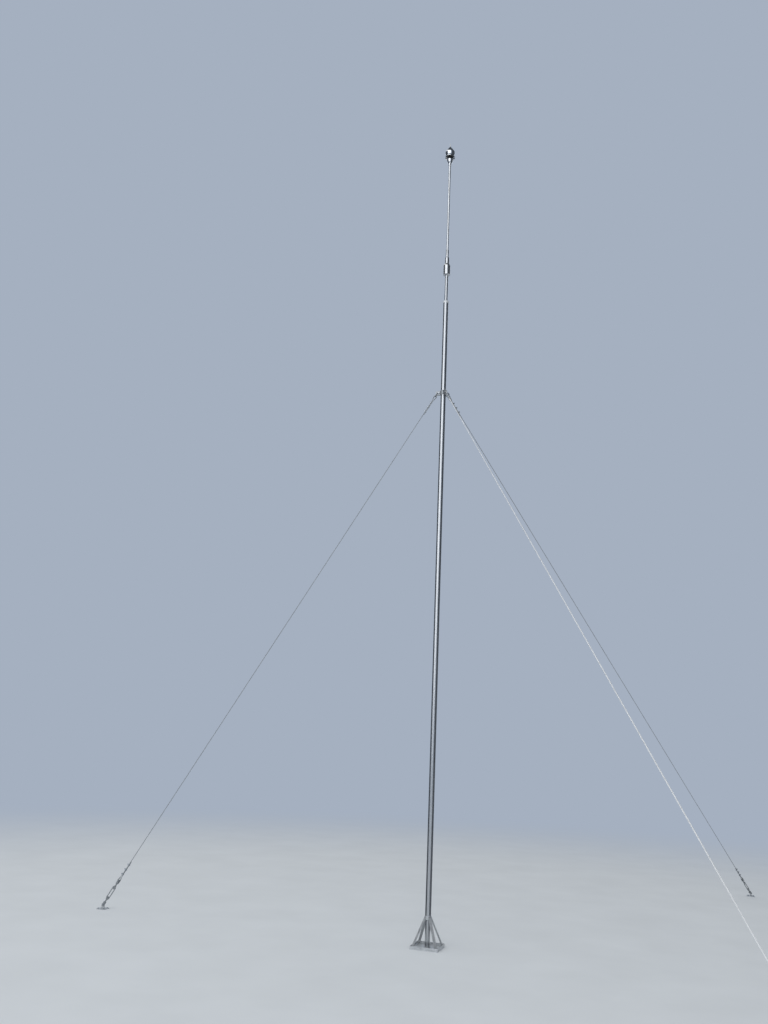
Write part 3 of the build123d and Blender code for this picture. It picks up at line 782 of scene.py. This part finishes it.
def split_pin(name):
    # A bent round wire: an eye on top of the pin and two legs spread below it
    bpy.ops.object.select_all(action="DESELECT")
    bpy.ops.curve.primitive_bezier_curve_add()
    wire = bpy.context.object
    wire.name = name
    spline = wire.data.splines[0]
    spline.bezier_points.add(5)
    path = (
        (0.0035, -0.0085, 0), (0.0006, -0.0045, 0), (0.0006, 0.0045, 0), (0.0, 0.0085, 0),
        (-0.0006, 0.0045, 0), (-0.0006, -0.0045, 0), (-0.0035, -0.0085, 0),
    )
    for point, spot in zip(spline.bezier_points, path):
        point.co = spot
        point.handle_left_type = point.handle_right_type = "AUTO"
    eye_top = spline.bezier_points[3]
    eye_top.handle_left_type = eye_top.handle_right_type = "FREE"
    eye_top.handle_left = (0.0032, 0.0085, 0)
    eye_top.handle_right = (-0.0032, 0.0085, 0)
    wire.data.dimensions = "3D"
    wire.data.bevel_depth = 0.0006
    wire.data.bevel_resolution = 2
    wire.data.resolution_u = 8
    wire.data.use_fill_caps = True
    bpy.ops.object.convert(target="MESH")
    close_up()
    bpy.ops.object.shade_smooth()
    return wire


for name, (azimuth, reach) in guys.items():
    place, length = guy_place(azimuth, reach)
    for node in (
        "shackle", "upper_thimble", "lower_thimble", "turnbuckle_clevises", "turnbuckle_body",
    ):
        finish_node(f"{name}_{node}", forged_zinc)
    thread = cut_thread(
        f"{name}_thread", radius=0.0059, depth=0.00045, pitch=0.00175, length=0.0555
    )
    threads = set_copies(thread, f"{name}_clevis_threads", [
        place @ Matrix.Translation((length - turnbuckle_length + clevis_length, 0, 0)),
        place @ Matrix.Translation((length - clevis_length, 0, 0))
        @ Matrix.Rotation(math.pi, 4, "Z"),
    ])
    hand_over(threads, forged_zinc, "galvanised_steel")
    pins = set_copies(split_pin(f"{name}_split_pin"), f"{name}_split_pins", [
        place @ Matrix.Translation((0, 0, shackle_pin_end)),
        place @ Matrix.Translation((length - turnbuckle_length, 0, clevis_pin_end)),
        place @ Matrix.Translation((length, 0, clevis_pin_end)),
    ])
    hand_over(pins, zinc_plate, "galvanised_steel")


# Guy ropes
# Galvanised wire rope of 6.4 mm, six strands laid round a core. Each end is turned back round a
# thimble, and the tail is held beside the rope by three wire-rope clips.
def rope_finish(name, dull, pale):
    # Zinc-coated wires under the chalky skin of weathered zinc, which hides their mirror shine.
    # They are 0.7 mm here, coarser than the real ones so that they show.
    material, tree = new_material(name)
    place = add_node(tree, "ShaderNodeTexCoord").outputs["Object"]
    wires = add_node(
        tree, "ShaderNodeTexNoise", {"Scale": 1400.0, "Detail": 2.0}, {"Vector": place}
    )
    tone = add_node(
        tree, "ShaderNodeValToRGB", {"stops": [(0.3, dull), (0.7, pale)]}, {"Fac": wires}
    )
    gloss = add_node(tree, "ShaderNodeMapRange", {"To Min": 0.4, "To Max": 0.6}, {"Value": wires})
    bump = add_node(
        tree, "ShaderNodeBump", {"Strength": 0.3, "Distance": 0.0002}, {"Height": wires}
    )
    rope = add_node(
        tree, "ShaderNodeBsdfPrincipled", {"Metallic": 0.25},
        {"Base Color": tone, "Roughness": gloss, "Normal": bump},
    )
    add_node(tree, "ShaderNodeOutputMaterial", {}, {"Surface": rope})
    return material


# The same rope in two tones: the front guy nearly white with painted light, the other two greyer
# with painted shade
rope_with_painted_light = rope_finish("galvanised_wire_rope_painted_light", "#DADDDF", "#F1F2F3")
rope_with_painted_shade = rope_finish("galvanised_wire_rope_painted_shade", "#868B90", "#A8ADB1")
rope_radius = 0.0032
lay_length = 0.045
leg_offset = 0.00345
eye_length = 0.052
eye_radius = 0.009
groove_radius = 0.0144
bend_radius = 0.060
tail = 0.150
leg_turn = (
    math.radians(90) - math.atan2(leg_offset, eye_length)
    - math.acos(groove_radius / math.hypot(eye_length, leg_offset))
)
bend_start = eye_length + bend_radius * math.tan(leg_turn / 2)


def eye_points(crown, side, leg):
    # Spots, directions and handle lengths along one eye, from the outer end of its bend, round
    # the crown, and back to the outer end of the other bend
    bend_handle = 4 / 3 * math.tan(leg_turn / 4) * bend_radius
    half_turn = math.radians(90) + leg_turn
    crown_handle = 4 / 3 * math.tan(half_turn / 4) * groove_radius
    straight = 0.012

    def spot(x, y):
        return Vector((crown + side * x, y, 0))

    legs = []
    for here, towards in ((leg, -1), (-leg, 1)):
        slope = Vector((
            side * towards * math.cos(leg_turn), here * -towards * math.sin(leg_turn), 0,
        ))
        level = Vector((side * towards, 0, 0))
        outer = spot(bend_start, here * leg_offset)
        inner = spot(
            bend_start - bend_radius * math.sin(leg_turn),
            here * (leg_offset + bend_radius * (1 - math.cos(leg_turn))),
        )
        touch = spot(
            groove_radius * math.sin(leg_turn), here * groove_radius * math.cos(leg_turn),
        )
        points = [
            (outer, level, straight, bend_handle), (inner, slope, bend_handle, straight),
            (touch, slope, straight, crown_handle),
        ]
        if towards > 0:
            # The leg that leads away from the crown is run through the other way
            points = [(at, way, after, before) for at, way, before, after in reversed(points)]
        legs.append(points)
    top = (spot(-groove_radius, 0), Vector((0, -leg, 0)), crown_handle, crown_handle)
    return legs[0] + [top] + legs[1]


def lay_rope(name, upper_crown, lower_crown):
    # The route is drawn first, then a straight rope is wound and bent along it
    bpy.ops.object.select_all(action="DESELECT")
    bpy.ops.curve.primitive_bezier_curve_add()
    route = bpy.context.object
    first = Vector((upper_crown + bend_start + tail, -leg_offset, 0))
    last = Vector((lower_crown - bend_start - tail, -leg_offset, 0))
    backwards = Vector((-1, 0, 0))
    points = (
        [(first, backwards, 0.02, 0.02)] + eye_points(upper_crown, 1, -1)
        + eye_points(lower_crown, -1, 1) + [(last, backwards, 0.02, 0.02)]
    )
    spline = route.data.splines[0]
    spline.bezier_points.add(len(points) - 2)
    for point, (spot, way, before, after) in zip(spline.bezier_points, points):
        point.handle_left_type = point.handle_right_type = "FREE"
        point.co = spot
        point.handle_left = spot - way * before
        point.handle_right = spot + way * after
    route.data.dimensions = "3D"
    route.data.resolution_u = 14
    bpy.ops.object.convert(target="MESH")
    spots = route.data.vertices
    run = sum((spots[a].co - spots[b].co).length for a, b in (e.vertices for e in route.data.edges))
    bpy.ops.object.convert(target="CURVE")
    route = bpy.context.object

    bpy.ops.object.select_all(action="DESELECT")
    bpy.ops.mesh.primitive_circle_add(vertices=24, radius=rope_radius, rotation=(0, math.pi / 2, 0))
    rope = bpy.context.object
    rope.name = name
    bpy.ops.object.transform_apply(location=True, rotation=True, scale=True)
    # Six strands: of every four points, the first is the crown of a strand, and the third is
    # drawn in to the furrow beside it
    for remainder, share in ((1, 0.95), (3, 0.95), (2, 0.76)):
        for vertex in rope.data.vertices:
            vertex.select = vertex.index % 4 == remainder
        for edge in rope.data.edges:
            edge.select = False
        bpy.ops.object.mode_set(mode="EDIT")
        bpy.ops.mesh.select_mode(type="VERT")
        bpy.ops.transform.resize(value=(share, share, share), center_override=(0, 0, 0))
        bpy.ops.object.mode_set(mode="OBJECT")
    turns = round(run / lay_length)
    wind = rope.modifiers.new("wind", "SCREW")
    wind.axis = "X"
    wind.angle = 2 * math.pi
    wind.screw_offset = run / turns
    wind.steps = 12
    wind.render_steps = 12
    wind.iterations = turns
    bpy.ops.object.modifier_apply(modifier="wind")
    bend = rope.modifiers.new("bend", "CURVE")
    bend.object = route
    bend.deform_axis = "POS_X"
    bpy.ops.object.modifier_apply(modifier="bend")
    close_up(0.00001)
    bpy.ops.object.shade_smooth_by_angle(angle=math.radians(60))
    bpy.data.objects.remove(route)
    return rope


bow_half = 0.0060
bow_end = 0.0195
saddle_middle = 0.0078
saddle_size = (0.012, 0.0075, 0.0185)
nut_seat = 0.0115


def rope_clip(name):
    # A U-bolt round the tail, with a grooved saddle on the running rope and two nuts
    bpy.ops.object.select_all(action="DESELECT")
    bpy.ops.curve.primitive_bezier_curve_add()
    bow = bpy.context.object
    spline = bow.data.splines[0]
    spline.bezier_points.add(3)
    # Four thirds of the tangent of a quarter of the turn make a round bend
    handle = bow_half * 0.5523
    path = (
        (Vector((0, bow_end, -bow_half)), Vector((0, -0.005, 0))),
        (Vector((0, -leg_offset, -bow_half)), Vector((0, -handle, 0))),
        (Vector((0, -leg_offset - bow_half, 0)), Vector((0, 0, handle))),
        (Vector((0, -leg_offset, bow_half)), Vector((0, handle, 0))),
        (Vector((0, bow_end, bow_half)), Vector((0, 0.005, 0))),
    )
    for point, (spot, way) in zip(spline.bezier_points, path):
        point.handle_left_type = point.handle_right_type = "FREE"
        point.co = spot
        point.handle_left = spot - way
        point.handle_right = spot + way
    bow.data.dimensions = "3D"
    bow.data.bevel_depth = 0.0025
    bow.data.bevel_resolution = 3
    bow.data.resolution_u = 10
    bow.data.use_fill_caps = True
    bpy.ops.object.convert(target="MESH")
    bow = bpy.context.object
    close_up()
    bpy.ops.object.shade_smooth_by_angle(angle=math.radians(40))

    bpy.ops.object.select_all(action="DESELECT")
    bpy.ops.mesh.primitive_cube_add(size=1, location=(0, saddle_middle, 0))
    saddle = bpy.context.object
    bpy.ops.object.mode_set(mode="EDIT")
    bpy.ops.mesh.select_all(action="SELECT")
    bpy.ops.transform.resize(value=saddle_size, center_override=(0, saddle_middle, 0))
    bpy.ops.mesh.bevel(offset=0.0016, segments=3)
    bpy.ops.object.mode_set(mode="OBJECT")
    bpy.ops.object.transform_apply(location=True, rotation=True, scale=True)
    bpy.ops.mesh.primitive_cylinder_add(
        vertices=24, radius=0.0034, depth=0.03, location=(0, leg_offset, 0),
        rotation=(0, math.pi / 2, 0),
    )
    groove = bpy.context.object
    cut = saddle.modifiers.new("groove", "BOOLEAN")
    cut.object = groove
    cut.operation = "DIFFERENCE"
    bpy.ops.object.select_all(action="DESELECT")
    bpy.context.view_layer.objects.active = saddle
    saddle.select_set(True)
    bpy.ops.object.modifier_apply(modifier="groove")
    bpy.data.objects.remove(groove)
    bpy.ops.object.shade_smooth_by_angle(angle=math.radians(30))
    nuts = []
    for side in (-1, 1):
        nut = turn_hexagon(f"{name}_nut", 0.008, 0.0, 0.004)
        nut.data.transform(
            Matrix.Translation((0, nut_seat, side * bow_half))
            @ Matrix.Rotation(-math.pi / 2, 4, "X") @ Matrix.Rotation(side * 0.25, 4, "Z")
        )
        nuts.append(nut)
    return join_pieces(name, [bow, saddle] + nuts)


# The crown of the upper eye hangs in the shackle's bow, and that of the lower one lies on the
# upper clevis pin, each with a running gap
shackle_leg = 0.024
shackle_bow = 0.009
clevis_pin_radius = 0.004
seat_gap = 0.0003
clip_steps = (0.010, 0.062, 0.114)
for name, (azimuth, reach) in guys.items():
    place, length = guy_place(azimuth, reach)
    upper_crown = shackle_leg + shackle_bow - seat_gap + eye_radius
    lower_crown = length - turnbuckle_length + clevis_pin_radius + seat_gap - eye_radius
    rope = lay_rope(f"{name}_laid_rope", upper_crown, lower_crown)
    rope.data.transform(place)
    # The front guy gets the copy with painted light, the other two the copy with painted shade
    finish = rope_with_painted_light if name == "front" else rope_with_painted_shade
    hand_over(rope, finish, "wire_rope", f"{name}_guy_rope")
    spots = [upper_crown + bend_start + step for step in clip_steps]
    spots += [lower_crown - bend_start - step for step in clip_steps]
    clips = set_copies(rope_clip(f"{name}_clip"), f"{name}_rope_clips", [
        place @ Matrix.Translation((spot, 0, 0)) for spot in spots
    ])
    hand_over(clips, zinc_plate, "galvanised_steel")


# Anchors
# A galvanised plate with an upright lug welded across it, which takes the pin of the turnbuckle's
# lower clevis. Four M8 bolts hold it down.
anchor_wall = 0.006
anchor_bolt = 0.03
for name, (azimuth, reach) in guys.items():
    finish_node(f"{name}_anchor", galvanised_steel)
    spot = Matrix.Rotation(math.radians(azimuth), 3, "Z") @ Vector((reach, 0, 0))
    bolts = set_copies(
        hold_down_bolt(f"{name}_anchor_bolt", anchor_wall), f"{name}_anchor_bolts",
        [
            Matrix.Translation(spot + Vector((x, y, 0))) @ Matrix.Rotation(x * 17 + y * 9, 4, "Z")
            for x in (-anchor_bolt, anchor_bolt) for y in (-anchor_bolt, anchor_bolt)
        ],
    )
    hand_over(bolts, zinc_plate, "galvanised_steel")
    turn = Matrix.Translation(spot) @ Matrix.Rotation(math.radians(azimuth), 4, "Z")
    beads = []
    for side in (-0.0043, 0.0043):
        start, end = (turn @ Vector((x, side, 0.0065)) for x in (-0.016, 0.016))
        beads.append(weld_line(start, end, 0.005))
    hand_over(join_pieces(f"{name}_anchor_welds", beads), weld_bead, "galvanised_steel")
